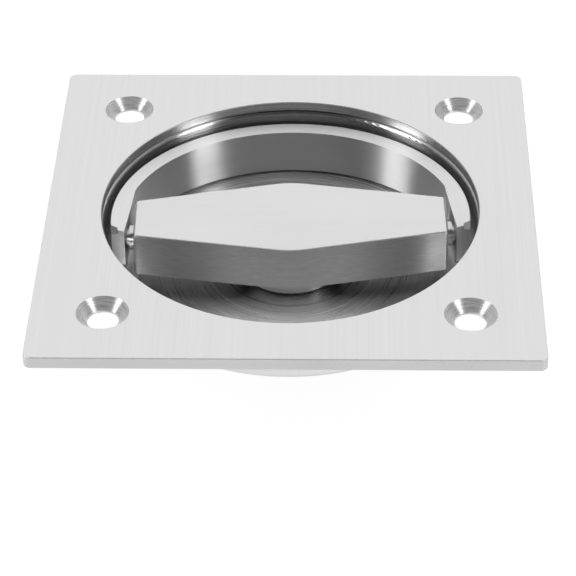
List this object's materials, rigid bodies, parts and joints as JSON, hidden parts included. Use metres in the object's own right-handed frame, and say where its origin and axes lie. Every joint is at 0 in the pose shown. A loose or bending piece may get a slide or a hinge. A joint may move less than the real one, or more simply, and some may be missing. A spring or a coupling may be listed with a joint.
{
  "type": "flush pull handle",
  "caption": "Square flush pull handle with a round cup, a turning bar across it and a half ring that swings up from the cup.",
  "frame": {"origin": "centre of the fixing holes, on the back face of the plate that seats on the door", "axes": "+Z out of the door towards the hand, +X along the bar, +Y towards the side that the half ring lies on"},
  "size_m": [0.1, 0.1, 0.0272],
  "materials": {
    "plate_steel": "straight brushed stainless steel",
    "cup_steel": "turned stainless steel",
    "bar_steel": "fine brushed stainless steel",
    "ring_steel": "fine brushed stainless steel",
    "fastener_steel": "turned steel",
    "spring_steel": "dark spring steel",
    "bush_plastic": "dark bearing plastic"
  },
  "bodies": {
    "plate": {"face_plate": "plate_steel", "cup": "cup_steel", "bearing_collar": "cup_steel", "bearing_bush": "bush_plastic"},
    "swivel": {"turn_bar": "bar_steel", "hub": "bar_steel", "hub_screw": "fastener_steel", "hub_dowels": "fastener_steel", "back_washer": "fastener_steel", "wave_washer": "spring_steel", "circlip": "spring_steel", "pivot_pin_left": "fastener_steel", "pivot_pin_right": "fastener_steel", "spacer_bush_left": "fastener_steel", "spacer_bush_right": "fastener_steel"},
    "ring": {"pull_ring": "ring_steel"}
  },
  "joints": [
    {"name": "bar_turn", "type": "hinge", "parent": "plate", "child": "swivel", "pos_m": [0, 0, 0], "axis": [0, 0, 1], "continuous": true},
    {"name": "ring_lift", "type": "hinge", "parent": "swivel", "child": "ring", "pos_m": [0, 0, -0.0049], "axis": [0.9996, 0.0297, 0], "range_deg": [0, 185]}
  ]
}
